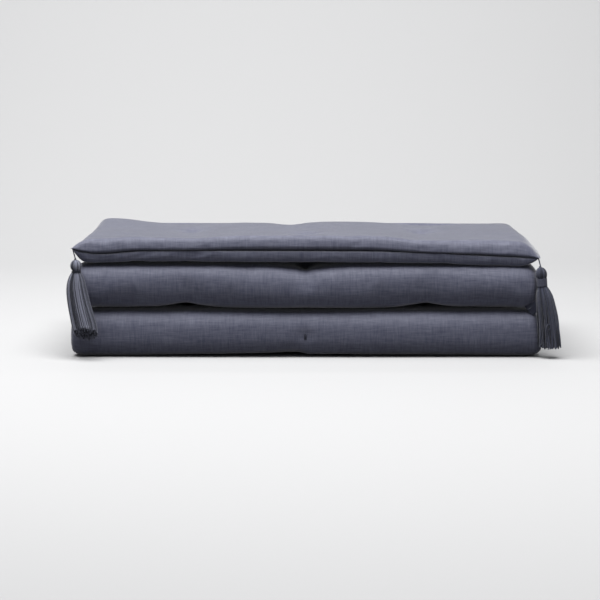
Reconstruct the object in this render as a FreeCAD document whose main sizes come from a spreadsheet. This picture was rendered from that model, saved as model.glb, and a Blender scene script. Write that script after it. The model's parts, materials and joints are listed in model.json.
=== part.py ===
"""Folding tufted floor cushion: a long padded mat folded in a zigzag into five layers.

Units are millimetres.  +X runs along the folds, -Y is the front and +Z is up.
The origin is the middle of the flat underside of the lowest layer.

The mat is two cover cloths seamed round the edge over one sheet of wadding, tied
through with thread.  Cover and wadding are made here in lengths: five flat panels, four
folds that turn half round between them, and the two short free ends.  A tassel
hangs from each corner of the mat.
"""
import FreeCAD, Part
import Sketcher
import math
import os

Vector = FreeCAD.Vector
Rotation = FreeCAD.Rotation
Placement = FreeCAD.Placement

X_DIRECTION = Vector(1, 0, 0)
Y_DIRECTION = Vector(0, 1, 0)
Z_DIRECTION = Vector(0, 0, 1)
NO_TURN = Rotation()
HALF_TURN_ABOUT_X = Rotation(X_DIRECTION, 180)
HALF_TURN_ABOUT_Z = Rotation(Z_DIRECTION, 180)

# ---------------------------------------------------------------- driving sizes

SIZES = (
    ("mat_width", 700),          # along the folds, from ear to ear
    ("fold_pitch", 266),         # from one fold line to the next
    ("edge_overhang", 35),       # free end past the first and the last fold line
    ("layer_thickness", 35),     # one padded layer at rest
    ("layer_gap", 1),            # air between two layers
    ("side_inset", 7),           # panel edges pulled in behind the ears of the folds
    ("side_round", 45),          # width over which a layer thins to its side seam
    ("cloth_thickness", 1.2),
    ("seam_allowance", 2),       # width of the seam where both cloths meet
    ("end_clearance", 0.25),     # between a panel and the fold that carries on from it
    ("tie_diameter", 2.4),
    ("tie_bar_length", 8),       # thread bar on each face
    ("tie_bar_depth", 0.6),
    ("tie_column", 183),         # side columns of ties, from the middle
    ("tie_margin", 7),           # last row of ties stands this far inside a fold line
    ("top_tie_shift", 26),       # the hindmost tie of the top panel is sewn off centre
    ("hanger_length", 15),       # cord from the corner to the tassel's head
    ("hanger_diameter", 2),
    ("hanger_offset", 1.5),      # cord stands this far out from the corner seam
    ("head_radius", 8.5),
    ("neck_radius", 6),
    ("neck_length", 10),
    ("skirt_length", 84),
    ("skirt_radius", 15),
    ("left_skirt_inward", 20),   # lean of the front left skirt at its tip
    ("left_skirt_forward", 26),
    ("right_skirt_outward", 16),
    ("right_head_outward", 3),   # front right head hangs just outside its corner
    ("right_corner_drop", 12),   # and that corner sags below the left one
    ("floor_tassel_outward", 8), # tassels at the back lie this far outside the corner
)

PANEL_COUNT = 5
FOLD_NAMES = ("front_fold_low", "back_fold_low", "front_fold_high", "back_fold_high")
TIED_FOLD = "front_fold_low"
FOLD_TIE_DROP = 14          # degrees; the fold's tie shows this far below the fold line

# Rows of ties on each panel, from the front: "centre" is one tie, "sides" is a pair.
# There is no row beside the free front end, nor beside the low front fold, which has a
# tie of its own.
TIE_ROWS = {
    1: (None, "sides", "centre", "sides"),
    2: (None, "sides", "centre", "sides"),
    3: ("sides", "centre", "sides", "centre"),
    4: ("centre", "sides", "centre", "sides"),
    5: (None, "centre", "sides", "centre"),
}

doc = FreeCAD.newDocument("folding_floor_cushion")
sheet = doc.addObject("Spreadsheet::Sheet", "Sizes")
for row, (alias, number) in enumerate(SIZES, start=1):
    sheet.set("A%d" % row, alias)
    sheet.set("B%d" % row, str(number))
    sheet.setAlias("B%d" % row, alias)
doc.recompute()


def size(text):
    """Expression in the sheet's words, such as 'mat_width / 2', with the sheet named."""
    for alias, _ in SIZES:
        text = text.replace(alias, "Sizes." + alias)
    return text


def value(text):
    """The same expression worked out as a number, for a first guess in a sketch."""
    words = {}
    for alias, _ in SIZES:
        words[alias] = float(sheet.get(alias))
    for alias in sorted(words, key=len, reverse=True):
        text = text.replace(alias, repr(words[alias]))
    total = FreeCAD.Units.Quantity(text)
    return total.Value


LAYER_STEP = "(layer_thickness + layer_gap)"
HALF_THICK = "layer_thickness / 2"
HALF_EAR = "mat_width / 2"
HALF_PANEL = "(mat_width / 2 - side_inset)"
FOLD_LINE = "fold_pitch / 2"
FREE_EDGE = "(fold_pitch / 2 + edge_overhang)"
END_ROW = "(fold_pitch / 2 - tie_margin)"
END_ROUND = "(edge_overhang * 0.95)"     # the free end thins over nearly all its length
HEAD_FLAT_LATITUDE = 60     # degrees; the head's ball is flat where cord and neck meet it
HEAD_FLAT = "sin(%d)" % HEAD_FLAT_LATITUDE


# ---------------------------------------------------------------- helpers

ORIGIN = (-1, 1)                 # a sketch's own origin, as a geometry and a point of it
X_AXIS, Y_AXIS = -1, -2          # a sketch's own axes
START, END, CENTRE = 1, 2, 3     # points of a line or an arc
UPPER, LOWER = 1, -1

finished = []      # every sub-part that is written out


def sub_part(shape_object, name):
    """Gives a finished sub-part its own name."""
    shape_object.Label = name
    finished.append(shape_object)
    return shape_object


def place(shape_object, x="0", y="0", z="0", turn=NO_TURN):
    """Stands an object at a place that is given in the sheet's words."""
    shape_object.Placement = Placement(Vector(value(x), value(y), value(z)), turn)
    for axis, text in (("x", x), ("y", y), ("z", z)):
        shape_object.setExpression(".Placement.Base." + axis, size(text))
    return shape_object


def primitive(kind, name, **sizes):
    """Part primitive whose properties are bound to the sheet."""
    made = doc.addObject(kind, name)
    for prop, text in sizes.items():
        made.setExpression(prop, size(text))
    return made


def joined(name, shapes):
    made = doc.addObject("Part::MultiFuse", name)
    made.Shapes = shapes
    return made


def overlap(name, first, second):
    made = doc.addObject("Part::Common", name)
    made.Base = first
    made.Tool = second
    return made


def cut(name, base, tool):
    made = doc.addObject("Part::Cut", name)
    made.Base = base
    made.Tool = tool
    return made


def origin_part(body, role):
    return [part for part in body.Origin.OriginFeatures if part.Role == role][0]


def new_sketch(body, plane, rise="0", turn=NO_TURN):
    """Sketch on an origin plane of its body, raised above the plane's own X axis."""
    sketch = body.newObject("Sketcher::SketchObject", body.Name + "_outline")
    sketch.AttachmentSupport = [(origin_part(body, plane), "")]
    sketch.MapMode = "FlatFace"
    sketch.AttachmentOffset = Placement(Vector(0, value(rise), 0), turn)
    sketch.setExpression(".AttachmentOffset.Base.y", size(rise))
    return sketch


def measure(sketch, kind, first, second, text):
    """Distance between two points of a sketch, bound to the sheet."""
    index = sketch.addConstraint(Sketcher.Constraint(kind, *first, *second, value(text)))
    sketch.setExpression("Constraints[%d]" % index, size(text))


def edge_arc(crown, tip):
    """Arc that leaves the flat face level at its crown and falls to the seam at its tip."""
    run = tip.x - crown.x
    drop = crown.y - tip.y
    radius = (run * run + drop * drop) / (2 * drop)
    centre = Vector(crown.x, crown.y - radius, 0)
    middle = centre + ((crown + tip) / 2 - centre).normalize() * abs(radius)
    return Part.Arc(crown, middle, tip)


def layer_outline(sketch, half_width, round_width, half_thick, halves):
    """Outline of a padded layer seen along its length: flat faces, thin at both seams.

    halves is (UPPER,) for the space above the seams, or (UPPER, LOWER) for both.
    """
    flat = "(%s - %s)" % (half_width, round_width)
    tip_x = value(half_width)
    flat_x = value(flat)
    rise = value(half_thick)
    for half in halves:
        left = Vector(-flat_x, half * rise, 0)
        right = Vector(flat_x, half * rise, 0)
        face = sketch.addGeometry(Part.LineSegment(left, right))
        sketch.addConstraint(Sketcher.Constraint("Symmetric", face, START, face, END, Y_AXIS))
        measure(sketch, "DistanceX", (face, START), (face, END), "2 * " + flat)
        heights = [ORIGIN, (face, START)][::half]
        measure(sketch, "DistanceY", *heights, half_thick)
        for side, crown, crown_end in ((1, right, END), (-1, left, START)):
            arc = sketch.addGeometry(edge_arc(crown, Vector(side * tip_x, 0, 0)))
            from_crown = sketch.getPoint(arc, START).isEqual(crown, 0.001)
            near, far = (START, END) if from_crown else (END, START)
            sketch.addConstraint(Sketcher.Constraint("Coincident", arc, near, face, crown_end))
            sketch.addConstraint(Sketcher.Constraint("Vertical", arc, CENTRE, face, crown_end))
            sketch.addConstraint(Sketcher.Constraint("PointOnObject", arc, far, X_AXIS))
            widths = [ORIGIN, (arc, far)][::side]
            measure(sketch, "DistanceX", *widths, half_width)
    if len(halves) == 1:
        across = Part.LineSegment(Vector(-tip_x, 0, 0), Vector(tip_x, 0, 0))
        base = sketch.addGeometry(across)
        for base_end, arc, tip in ((START, 2, -tip_x), (END, 1, tip_x)):
            at_start = sketch.getPoint(arc, START).isEqual(Vector(tip, 0, 0), 0.001)
            arc_end = START if at_start else END
            sketch.addConstraint(Sketcher.Constraint("Coincident", base, base_end, arc, arc_end))


def layer_body(name, outline, length, midway=True, plane="XZ_Plane"):
    """Padded layer of one outline all along its length."""
    body = doc.addObject("PartDesign::Body", name)
    sketch = new_sketch(body, plane)
    layer_outline(sketch, *outline)
    pad = body.newObject("PartDesign::Pad", name + "_length")
    pad.Profile = sketch
    pad.SideType = "Symmetric" if midway else "One side"
    pad.setExpression("Length", size(length))
    return body


def outlines(half_width, round_width):
    """Outline of one cover with what it holds, and of the wadding alone."""
    cover = (half_width, round_width, HALF_THICK, (UPPER,))
    inside_width = "(%s - seam_allowance)" % half_width
    inside_round = "(%s - seam_allowance)" % round_width
    inside_thick = "(%s - cloth_thickness)" % HALF_THICK
    wadding = (inside_width, inside_round, inside_thick, (UPPER, LOWER))
    return cover, wadding


# ---------------------------------------------------------------- ties

def tie(name, x, y, z):
    """Doubled thread through one layer, with a bar of stitches on each face."""
    post = primitive("Part::Cylinder", name + "_post", Radius="tie_diameter / 2",
                     Height="layer_thickness")
    place(post, x, y, z)
    bars = []
    for face, rise in (("lower", "0"), ("upper", "layer_thickness - tie_bar_depth")):
        bar = primitive("Part::Box", name + "_" + face + "_bar", Length="tie_bar_length",
                        Width="tie_diameter", Height="tie_bar_depth")
        place(bar, x + " - tie_bar_length / 2", y + " - tie_diameter / 2", z + " + " + rise)
        bars.append(bar)
    return joined(name, [post] + bars)


def panel_ties(number, z):
    """Every tie of one panel, in staggered rows between its two fold lines."""
    rows = TIE_ROWS[number]
    ties = []
    for row, kind in enumerate(rows):
        if kind is None:
            continue
        y = "%s * (2 * %d / %d - 1)" % (END_ROW, row, len(rows) - 1)
        hindmost = number == PANEL_COUNT and row == len(rows) - 1
        columns = {"centre": ("0",), "sides": ("-tie_column", "tie_column")}[kind]
        if hindmost:
            columns = ("-top_tie_shift",)
        for place_number, x in enumerate(columns, start=1):
            ties.append(tie("panel_%d_tie_%d_%d" % (number, row + 1, place_number), x, y, z))
    group = doc.addObject("Part::Compound", "panel_%d_tie_group" % number)
    group.Links = ties
    return group


# ---------------------------------------------------------------- panels

def panel(number):
    """One flat layer: upper cloth, lower cloth, wadding between them, and the ties."""
    name = "panel_%d" % number
    base = "(%s * %d)" % (LAYER_STEP, number - 1)
    middle = base + " + " + HALF_THICK
    length = "fold_pitch - 2 * end_clearance"
    cover, inside = outlines(HALF_PANEL, "side_round")
    upper = place(layer_body(name + "_upper_half", cover, length), z=middle)
    lower = place(layer_body(name + "_lower_half", cover, length), z=middle,
                  turn=HALF_TURN_ABOUT_X)
    filling = place(layer_body(name + "_filling", inside, length), z=middle)
    ties = sub_part(panel_ties(number, base), name + "_tie_threads")
    holes = joined(name + "_inside", [filling] + ties.Links)
    sub_part(cut(name + "_upper", upper, holes), name + "_upper_cover")
    sub_part(cut(name + "_lower", lower, holes), name + "_lower_cover")
    sub_part(cut(name + "_wad", filling, ties), name + "_wadding")


# ---------------------------------------------------------------- folds

def fold_part(name, outline, turn, front):
    """Layer turned half round about the fold line, as an outline swept about the X axis."""
    body = doc.addObject("PartDesign::Body", name)
    middle_radius = "(layer_gap / 2 + layer_thickness / 2)"
    sketch = new_sketch(body, "XZ_Plane", rise=middle_radius, turn=turn)
    layer_outline(sketch, *outline)
    turned = body.newObject("PartDesign::Revolution", name + "_turn")
    turned.Profile = sketch
    turned.ReferenceAxis = (origin_part(body, "X_Axis"), [""])
    turned.Angle = 180
    turned.Reversed = not front
    return body


def fold_tie(name, y, z):
    """Thread through the middle of a front fold, pointing out and a little down."""
    turn = Rotation(X_DIRECTION, 90 + FOLD_TIE_DROP)
    slope = (math.cos(math.radians(FOLD_TIE_DROP)), math.sin(math.radians(FOLD_TIE_DROP)))
    reaches = {"inner": "(layer_gap / 2 + tie_bar_depth)",
               "outer": "(layer_gap / 2 + layer_thickness - tie_diameter / 10)"}
    post = primitive("Part::Cylinder", name + "_post", Radius="tie_diameter / 2",
                     Height="layer_thickness - tie_diameter / 10 - tie_bar_depth")
    place(post, "0", "%s - %s * %.4f" % (y, reaches["inner"], slope[0]),
          "%s - %s * %.4f" % (z, reaches["inner"], slope[1]), turn)
    return post


def fold(number, name):
    """Roll of cover and wadding from one panel up to the next."""
    front = number % 2 == 1
    y = ("-" if front else "") + FOLD_LINE
    z = "%s * %d - layer_gap / 2" % (LAYER_STEP, number)
    cover, inside = outlines(HALF_EAR, "side_round")
    outer = place(fold_part(name + "_outer", cover, NO_TURN, front), y=y, z=z)
    inner = place(fold_part(name + "_inner", cover, HALF_TURN_ABOUT_X, front), y=y, z=z)
    filling = place(fold_part(name + "_filling", inside, NO_TURN, front), y=y, z=z)
    if name != TIED_FOLD:
        sub_part(cut(name + "_outside", outer, filling), name + "_outer_cover")
        sub_part(cut(name + "_inside", inner, filling), name + "_inner_cover")
        sub_part(filling, name + "_wadding")
        return
    thread = sub_part(fold_tie(name + "_tie", y, z), name + "_tie_thread")
    hole = joined(name + "_hole", [filling, thread])
    sub_part(cut(name + "_outside", outer, hole), name + "_outer_cover")
    sub_part(cut(name + "_inside", inner, hole), name + "_inner_cover")
    sub_part(cut(name + "_wad", filling, thread), name + "_wadding")


# ---------------------------------------------------------------- free ends

def end_part(name, outline, end_outline):
    """Layer that thins to a seam at both sides and along its free end."""
    long_part = layer_body(name + "_sides", outline, "edge_overhang", midway=False)
    end = layer_body(name + "_end", end_outline, "mat_width", plane="YZ_Plane")
    return overlap(name, long_part, end)


def free_end(name, y, layers_below, turn):
    """Short end of the mat past its last fold line, seamed along its edge."""
    z = "%s * %d + %s" % (LAYER_STEP, layers_below, HALF_THICK)
    cover, inside = outlines(HALF_EAR, "side_round")
    end_cover, end_inside = outlines("edge_overhang", END_ROUND)
    upper = place(end_part(name + "_upper", cover, end_cover), y=y, z=z, turn=turn)
    lower = place(end_part(name + "_lower", cover, end_cover), y=y, z=z,
                  turn=turn.multiply(Rotation(Y_DIRECTION, 180)))
    filling = place(end_part(name + "_filling", inside, end_inside), y=y, z=z, turn=turn)
    sub_part(cut(name + "_top", upper, filling), name + "_upper_cover")
    sub_part(cut(name + "_bottom", lower, filling), name + "_lower_cover")
    sub_part(filling, name + "_wadding")


# ---------------------------------------------------------------- tassels

def tassel(name, corner, along, head_shift, tip_shift, tip_radii):
    """Cord, round head, wound neck and skirt of threads, one after the other.

    corner is where the cord leaves the seam.  along is the direction that the tassel
    points in: "down" for one that hangs, "back" for one that lies on the floor.
    """
    down = along == "down"
    turn = Rotation(X_DIRECTION, 180) if down else Rotation(X_DIRECTION, -90)
    cap = "head_radius * %s" % HEAD_FLAT
    stations = {"hanger": "0"}
    stations["head"] = "hanger_length + " + cap
    stations["neck"] = "hanger_length + 2 * " + cap
    stations["skirt"] = stations["neck"] + " + neck_length"
    stations["tip"] = stations["skirt"] + " + skirt_length"

    def station(shape_object, key, shift=("0", "0"), turned=turn):
        run = stations[key]
        x = "%s + %s" % (corner[0], shift[0])
        if down:
            y = "%s + %s" % (corner[1], shift[1])
            z = "%s - (%s)" % (corner[2], run)
        else:
            y = "%s + %s" % (corner[1], run)
            z = "%s + %s" % (corner[2], shift[1])
        return place(shape_object, x, y, z, turned)

    hanger = primitive("Part::Cylinder", name + "_cord_run", Radius="hanger_diameter / 2",
                       Height="hanger_length")
    sub_part(station(hanger, "hanger", head_shift), name + "_cord")
    ball = primitive("Part::Sphere", name + "_ball", Radius="head_radius")
    ball.Angle1 = -HEAD_FLAT_LATITUDE
    ball.Angle2 = HEAD_FLAT_LATITUDE
    sub_part(station(ball, "head", head_shift), name + "_head")
    wrap = primitive("Part::Cylinder", name + "_wrap", Radius="neck_radius",
                     Height="neck_length")
    sub_part(station(wrap, "neck", head_shift), name + "_neck_wrap")
    sections = []
    for key, radii, shift in (("skirt", ("neck_radius", "neck_radius"), head_shift),
                              ("tip", tip_radii, tip_shift)):
        section = primitive("Part::Ellipse", name + "_" + key + "_ring",
                            MajorRadius=radii[0], MinorRadius=radii[1])
        sections.append(station(section, key, shift))
    skirt = doc.addObject("Part::Loft", name + "_threads")
    skirt.Sections = sections
    skirt.Solid = True
    skirt.Ruled = True
    sub_part(skirt, name + "_skirt")


# ---------------------------------------------------------------- the whole cushion

for panel_number in range(1, PANEL_COUNT + 1):
    panel(panel_number)

for fold_number, fold_name in enumerate(FOLD_NAMES, start=1):
    fold(fold_number, fold_name)

free_end("front_edge", "-" + FOLD_LINE, PANEL_COUNT - 1, NO_TURN)
free_end("back_edge", FOLD_LINE, 0, HALF_TURN_ABOUT_Z)

top_seam = "%s * %d + %s" % (LAYER_STEP, PANEL_COUNT - 1, HALF_THICK)
front_edge_line = "-%s - hanger_offset" % FREE_EDGE
back_edge_line = "%s + hanger_offset" % FREE_EDGE
round_tip = ("skirt_radius", "skirt_radius")
tassel("tassel_front_left", ("-" + HALF_EAR, front_edge_line, top_seam), "down", ("0", "0"),
       ("left_skirt_inward", "-left_skirt_forward"), round_tip)
tassel("tassel_front_right", (HALF_EAR, front_edge_line, top_seam + " - right_corner_drop"),
       "down", ("right_head_outward", "0"),
       ("right_skirt_outward", "0"), round_tip)
for side_name, sign in (("left", "-"), ("right", "")):
    corner = (sign + HALF_EAR, back_edge_line, "head_radius")
    outward = sign + "floor_tassel_outward"
    tassel("tassel_back_" + side_name, corner, "back", (outward, "0"), (outward, "0"),
           ("skirt_radius", "head_radius"))

doc.recompute()

# ---------------------------------------------------------------- checks and export

for item in doc.Objects:
    if "Invalid" in item.State or "Error" in item.State:
        raise RuntimeError("%s did not build: %s" % (item.Name, item.State))
for item in finished:
    shape = item.Shape
    if shape.isNull() or not shape.isValid() or not shape.Solids:
        raise RuntimeError("%s has no sound solid" % item.Label)

os.makedirs("parts", exist_ok=True)
for item in finished:
    item.Shape.exportStep("parts/%s.step" % item.Label)
    box = item.Shape.BoundBox
    print("%-32s %2d solids %12.1f mm3  x %7.1f %7.1f  y %7.1f %7.1f  z %6.1f %6.1f" % (
        item.Label, len(item.Shape.Solids), item.Shape.Volume, box.XMin, box.XMax,
        box.YMin, box.YMax, box.ZMin, box.ZMax))
print(len(finished), "sub-parts")
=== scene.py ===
"""Folding tufted floor cushion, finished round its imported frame.

Metres, in the frame's own axes: +X along the folds, -Y the front, +Z up.
"""
import json
import math
import random

import bpy
import numpy as np
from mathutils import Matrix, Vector


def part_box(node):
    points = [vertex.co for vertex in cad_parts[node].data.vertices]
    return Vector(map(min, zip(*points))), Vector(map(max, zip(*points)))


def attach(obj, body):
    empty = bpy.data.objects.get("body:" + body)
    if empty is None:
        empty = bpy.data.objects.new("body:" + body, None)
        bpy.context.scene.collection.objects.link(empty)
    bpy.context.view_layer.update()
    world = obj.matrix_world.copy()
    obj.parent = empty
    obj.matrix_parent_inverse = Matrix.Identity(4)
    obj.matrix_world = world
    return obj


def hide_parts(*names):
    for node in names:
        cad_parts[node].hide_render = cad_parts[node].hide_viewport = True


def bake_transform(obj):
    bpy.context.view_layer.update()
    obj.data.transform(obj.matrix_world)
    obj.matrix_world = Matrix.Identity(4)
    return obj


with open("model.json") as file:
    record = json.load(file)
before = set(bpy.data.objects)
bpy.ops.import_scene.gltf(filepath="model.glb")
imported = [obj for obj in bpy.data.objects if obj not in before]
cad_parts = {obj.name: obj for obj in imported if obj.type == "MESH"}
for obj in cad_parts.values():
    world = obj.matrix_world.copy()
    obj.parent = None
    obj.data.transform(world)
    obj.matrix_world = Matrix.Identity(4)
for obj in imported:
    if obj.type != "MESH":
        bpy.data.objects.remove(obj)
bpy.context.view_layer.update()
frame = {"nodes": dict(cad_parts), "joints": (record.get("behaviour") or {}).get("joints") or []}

# ------------------------------------------------------------------ camera
# A long lens from a little above the stack, square to its front.

CAMERA_PLACE = (0, -2.775, 0.423)
CAMERA_DIP = 7.32           # degrees below level
CAMERA_TURN = 0.18          # degrees to the left
CAMERA_LENS = 104.8         # millimetres

bpy.ops.object.camera_add(location=CAMERA_PLACE, rotation=(
    math.radians(90 - CAMERA_DIP), 0, math.radians(CAMERA_TURN)))
camera = bpy.context.object
camera.data.lens = CAMERA_LENS
bpy.context.scene.camera = camera

# ------------------------------------------------------------------ cloth of the cover
# Plain-woven slate cloth of linen and cotton: fine threads both ways with thicker slubs,
# dyed in the yarn so that single threads are lighter or darker, matt with a soft bloom.

CLOTH_DARK = (0.042, 0.0460, 0.084, 1)
CLOTH_LIGHT = (0.122, 0.127, 0.178, 1)
# Painted shade: the seams and the lower cloth beside the front seam are mixed towards this
# near-black, standing in for the shadow in the seam crease.
SEAM_PAINTED_SHADE = (0.006, 0.007, 0.014, 1)
THREAD_PITCH = 0.0011       # from one thread to the next
SLUB_WIDTH = 0.0014
SLUB_LENGTH = 0.022
WIDE_SLUBS = 2.7            # wider streaks lie over the fine ones, this many times as wide
FINE_SHARE = 0.75
WIDE_SHARE = 0.45
SLUB_CONTRAST = 1.45
SLUB_OFFSET = -1.37
CROSSING_CONTRAST = 0.22
PATCH_CONTRAST = 0.34


def add_node(tree, kind, links=None, **values):
    """Shader node with its inputs set or linked by name or number."""
    node = tree.nodes.new(kind)
    for name, setting in values.items():
        setattr(node, name, setting)
    for key, source in (links or {}).items():
        if isinstance(source, bpy.types.NodeSocket):
            tree.links.new(source, node.inputs[key])
        else:
            node.inputs[key].default_value = source
    return node


def math_node(tree, operation, first, second=0.0, third=0.0):
    links = {0: first, 1: second, 2: third}
    return add_node(tree, "ShaderNodeMath", links, operation=operation).outputs[0]


def new_group(name, inputs, outputs):
    """Shader node group with its sockets; returns it with its two end nodes."""
    group = bpy.data.node_groups.new(name, "ShaderNodeTree")
    for socket_name, kind, setting in inputs:
        socket = group.interface.new_socket(socket_name, in_out="INPUT", socket_type=kind)
        if setting is not None:
            socket.default_value = setting
    for socket_name, kind in outputs:
        group.interface.new_socket(socket_name, in_out="OUTPUT", socket_type=kind)
    return group, group.nodes.new("NodeGroupInput"), group.nodes.new("NodeGroupOutput")


def slub_noise(tree, across, along, width, length, seed):
    """Streaks of uneven thread, from 0 to 1, long one way and narrow the other."""
    place = add_node(tree, "ShaderNodeCombineXYZ", {
        0: math_node(tree, "DIVIDE", across, width),
        1: math_node(tree, "DIVIDE", along, length), 2: seed})
    noise = add_node(tree, "ShaderNodeTexNoise", {
        "Vector": place.outputs[0], "Scale": 1.0, "Detail": 2.0, "Roughness": 0.6})
    return noise.outputs["Fac"]


def build_weave_group():
    """Thread tone and relief of a plain weave, on a UV map laid out in metres."""
    tree, start, end = new_group("plain_weave", (
        ("UV", "NodeSocketVector", None),
        ("Thread pitch", "NodeSocketFloat", THREAD_PITCH),
        ("Slub width", "NodeSocketFloat", SLUB_WIDTH),
        ("Slub length", "NodeSocketFloat", SLUB_LENGTH)),
        (("Tone", "NodeSocketFloat"), ("Relief", "NodeSocketFloat")))
    split = add_node(tree, "ShaderNodeSeparateXYZ", {0: start.outputs["UV"]})
    across, along = split.outputs[0], split.outputs[1]
    pitch = start.outputs["Thread pitch"]
    width, length = start.outputs["Slub width"], start.outputs["Slub length"]
    slubs = math_node(tree, "ADD", slub_noise(tree, across, along, width, length, 1.7),
                      slub_noise(tree, along, across, width, length, 8.3))
    wide = math_node(tree, "MULTIPLY", width, WIDE_SLUBS)
    bands = math_node(tree, "ADD", slub_noise(tree, across, along, wide, length, 4.1),
                      slub_noise(tree, along, across, wide, length, 6.6))
    slubs = math_node(tree, "MULTIPLY_ADD", bands, WIDE_SHARE, math_node(
        tree, "MULTIPLY", slubs, FINE_SHARE))
    turn = math_node(tree, "DIVIDE", math.pi, pitch)
    warp_wave = add_node(tree, "ShaderNodeMath", {0: math_node(tree, "MULTIPLY", across, turn)},
                         operation="SINE").outputs[0]
    weft_wave = add_node(tree, "ShaderNodeMath", {0: math_node(tree, "MULTIPLY", along, turn)},
                         operation="SINE").outputs[0]
    crossing = math_node(tree, "MULTIPLY", warp_wave, weft_wave)
    crossing = math_node(tree, "ABSOLUTE", crossing)
    uneven = add_node(tree, "ShaderNodeTexNoise", {
        "Vector": start.outputs["UV"], "Scale": 9.0, "Detail": 3.0, "Roughness": 0.55})
    tone = math_node(tree, "MULTIPLY_ADD", slubs, SLUB_CONTRAST, SLUB_OFFSET)
    tone = math_node(tree, "MULTIPLY_ADD", crossing, CROSSING_CONTRAST, tone)
    patch = math_node(tree, "MULTIPLY_ADD", uneven.outputs["Fac"], PATCH_CONTRAST,
                      -PATCH_CONTRAST / 2)
    tone = math_node(tree, "ADD", tone, patch)
    relief = math_node(tree, "MULTIPLY_ADD", crossing, 0.45, math_node(
        tree, "MULTIPLY", slubs, 0.9))
    tree.links.new(tone, end.inputs["Tone"])
    tree.links.new(relief, end.inputs["Relief"])
    return tree


def new_material(name, roughness, sheen=0.0, sheen_roughness=0.5):
    """Material with one Principled shader; returns it with its tree and shader."""
    material = bpy.data.materials.new(name)
    material.use_nodes = True
    shader = material.node_tree.nodes["Principled BSDF"]
    shader.inputs["Roughness"].default_value = roughness
    shader.inputs["Specular IOR Level"].default_value = 0.25
    shader.inputs["Sheen Weight"].default_value = sheen
    shader.inputs["Sheen Roughness"].default_value = sheen_roughness
    return material, material.node_tree, shader


def colour_by(tree, shader, tone, dark, light):
    mixer = add_node(tree, "ShaderNodeMix", {0: tone, 6: dark, 7: light}, data_type="RGBA",
                     clamp_factor=True)
    tree.links.new(mixer.outputs[2], shader.inputs["Base Color"])
    return mixer.outputs[2]


def bump_by(tree, shader, height, strength, distance):
    bump = add_node(tree, "ShaderNodeBump", {
        "Strength": strength, "Distance": distance, "Height": height})
    tree.links.new(bump.outputs[0], shader.inputs["Normal"])


weave_group = build_weave_group()
cloth, cloth_tree, cloth_shader = new_material("slate_cloth", 0.66, 0.62, 0.40)
cloth_shader.inputs["Specular IOR Level"].default_value = 0.6
cloth_uv = add_node(cloth_tree, "ShaderNodeUVMap", uv_map="cloth")
cloth_weave = add_node(cloth_tree, "ShaderNodeGroup", node_tree=weave_group)
cloth_tree.links.new(cloth_uv.outputs[0], cloth_weave.inputs["UV"])
cloth_painted_seam_shade = add_node(cloth_tree, "ShaderNodeAttribute", attribute_name="groove")
cloth_colour = colour_by(cloth_tree, cloth_shader, cloth_weave.outputs["Tone"], CLOTH_DARK,
                         CLOTH_LIGHT)
# Painted shade in the seams: the cloth colour is mixed towards the near-black seam colour by the
# seam shade attribute.
seam_shade = add_node(cloth_tree, "ShaderNodeMix", {
    0: cloth_painted_seam_shade.outputs["Fac"], 6: cloth_colour, 7: SEAM_PAINTED_SHADE}, data_type="RGBA",
    clamp_factor=True)
cloth_tree.links.new(seam_shade.outputs[2], cloth_shader.inputs["Base Color"])
bump_by(cloth_tree, cloth_shader, cloth_weave.outputs["Relief"], 0.45, 0.0004)

# ------------------------------------------------------------------ the padded mat
# One long quilted mat: two cover cloths seamed round the edge over soft wadding, folded in
# a zigzag into five layers.  It is modelled whole as two skins that meet along the seam,
# settled as cloth, pressed in, and then cut at the fold lines into panels and folds.

PANELS = ["panel_%d" % number for number in range(1, 6)]
FOLDS = ["front_fold_low", "back_fold_low", "front_fold_high", "back_fold_high"]
FRONT, BACK = -1, 1

PANEL_STEP = 0.008          # between rows of the mesh along a panel
SIDE_ROUND = 0.024          # the mat rounds off over this width to its side seams
END_ROUND = 0.022
FRONT_ROUND = 0.017
EDGE_SQUARENESS = 2.5       # 2 is a round edge or fold, more is a blunter one
FRONT_SQUARENESS = 3.4
FOLD_SQUARENESS = (2.9, 2.5, 2.5, 2.5)
FOLD_PROUD = (0, 0, 0.003, 0)       # the higher front fold stands further forward
EDGE_ANGLES = (12, 26, 40, 53, 64, 73, 80, 85.5, 88.9, 90)  # rows round an edge to its seam
INNER_CREASE = 0.0008
FRONT_SWELL = 0.0028        # the free front edge is this much plumper than the panel
SEAM_DEPTH = 0.0022         # the seam lies this far in between the two swelling skins
FRONT_SEAM_DEPTH = 0.0052   # and this far along the plump front edge
FRONT_SEAM_DROP = 0.0014    # and lower, so that the upper cloth hangs over it
LIP_RECESS = 0.0024         # its lower cloth tucks back under the upper one
LIP_PAINTED_SHADE = 0.6             # painted shade: how far the lower cloth beside the front seam is darkened towards the seam colour


def node_box(node):
    low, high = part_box(node)
    return np.array(low), np.array(high)


layer_middle = {}
layer_half = {}
for panel in PANELS:
    low = node_box(panel + "_lower_cover")[0]
    high = node_box(panel + "_upper_cover")[1]
    layer_middle[panel] = (low[2] + high[2]) / 2
    layer_half[panel] = (high[2] - low[2]) / 2
half_layer = layer_half["panel_1"]
panel_half_width = node_box("panel_1_lower_cover")[1][0]
ear = node_box("front_edge_upper_cover")[1][0]
free_edge = node_box("back_edge_upper_cover")[1][1]
hinges = {joint["name"]: np.array(joint["pos_m"]) for joint in frame["joints"]}
fold_line = abs(hinges["front_fold_low_bend"][1])
fold_reach = node_box("back_fold_low_outer_cover")[1][1] - fold_line
middle_radius = (layer_middle["panel_2"] - layer_middle["panel_1"]) / 2


class Station:
    """One row across the mat: its middle, and its face on the two cover cloths, in Y and Z."""

    def __init__(self, piece, middle, first, second, fullness=1.0):
        self.piece = piece
        self.middle = np.array(middle)
        self.faces = [np.array(first), np.array(second)]
        self.fullness = fullness


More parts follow.
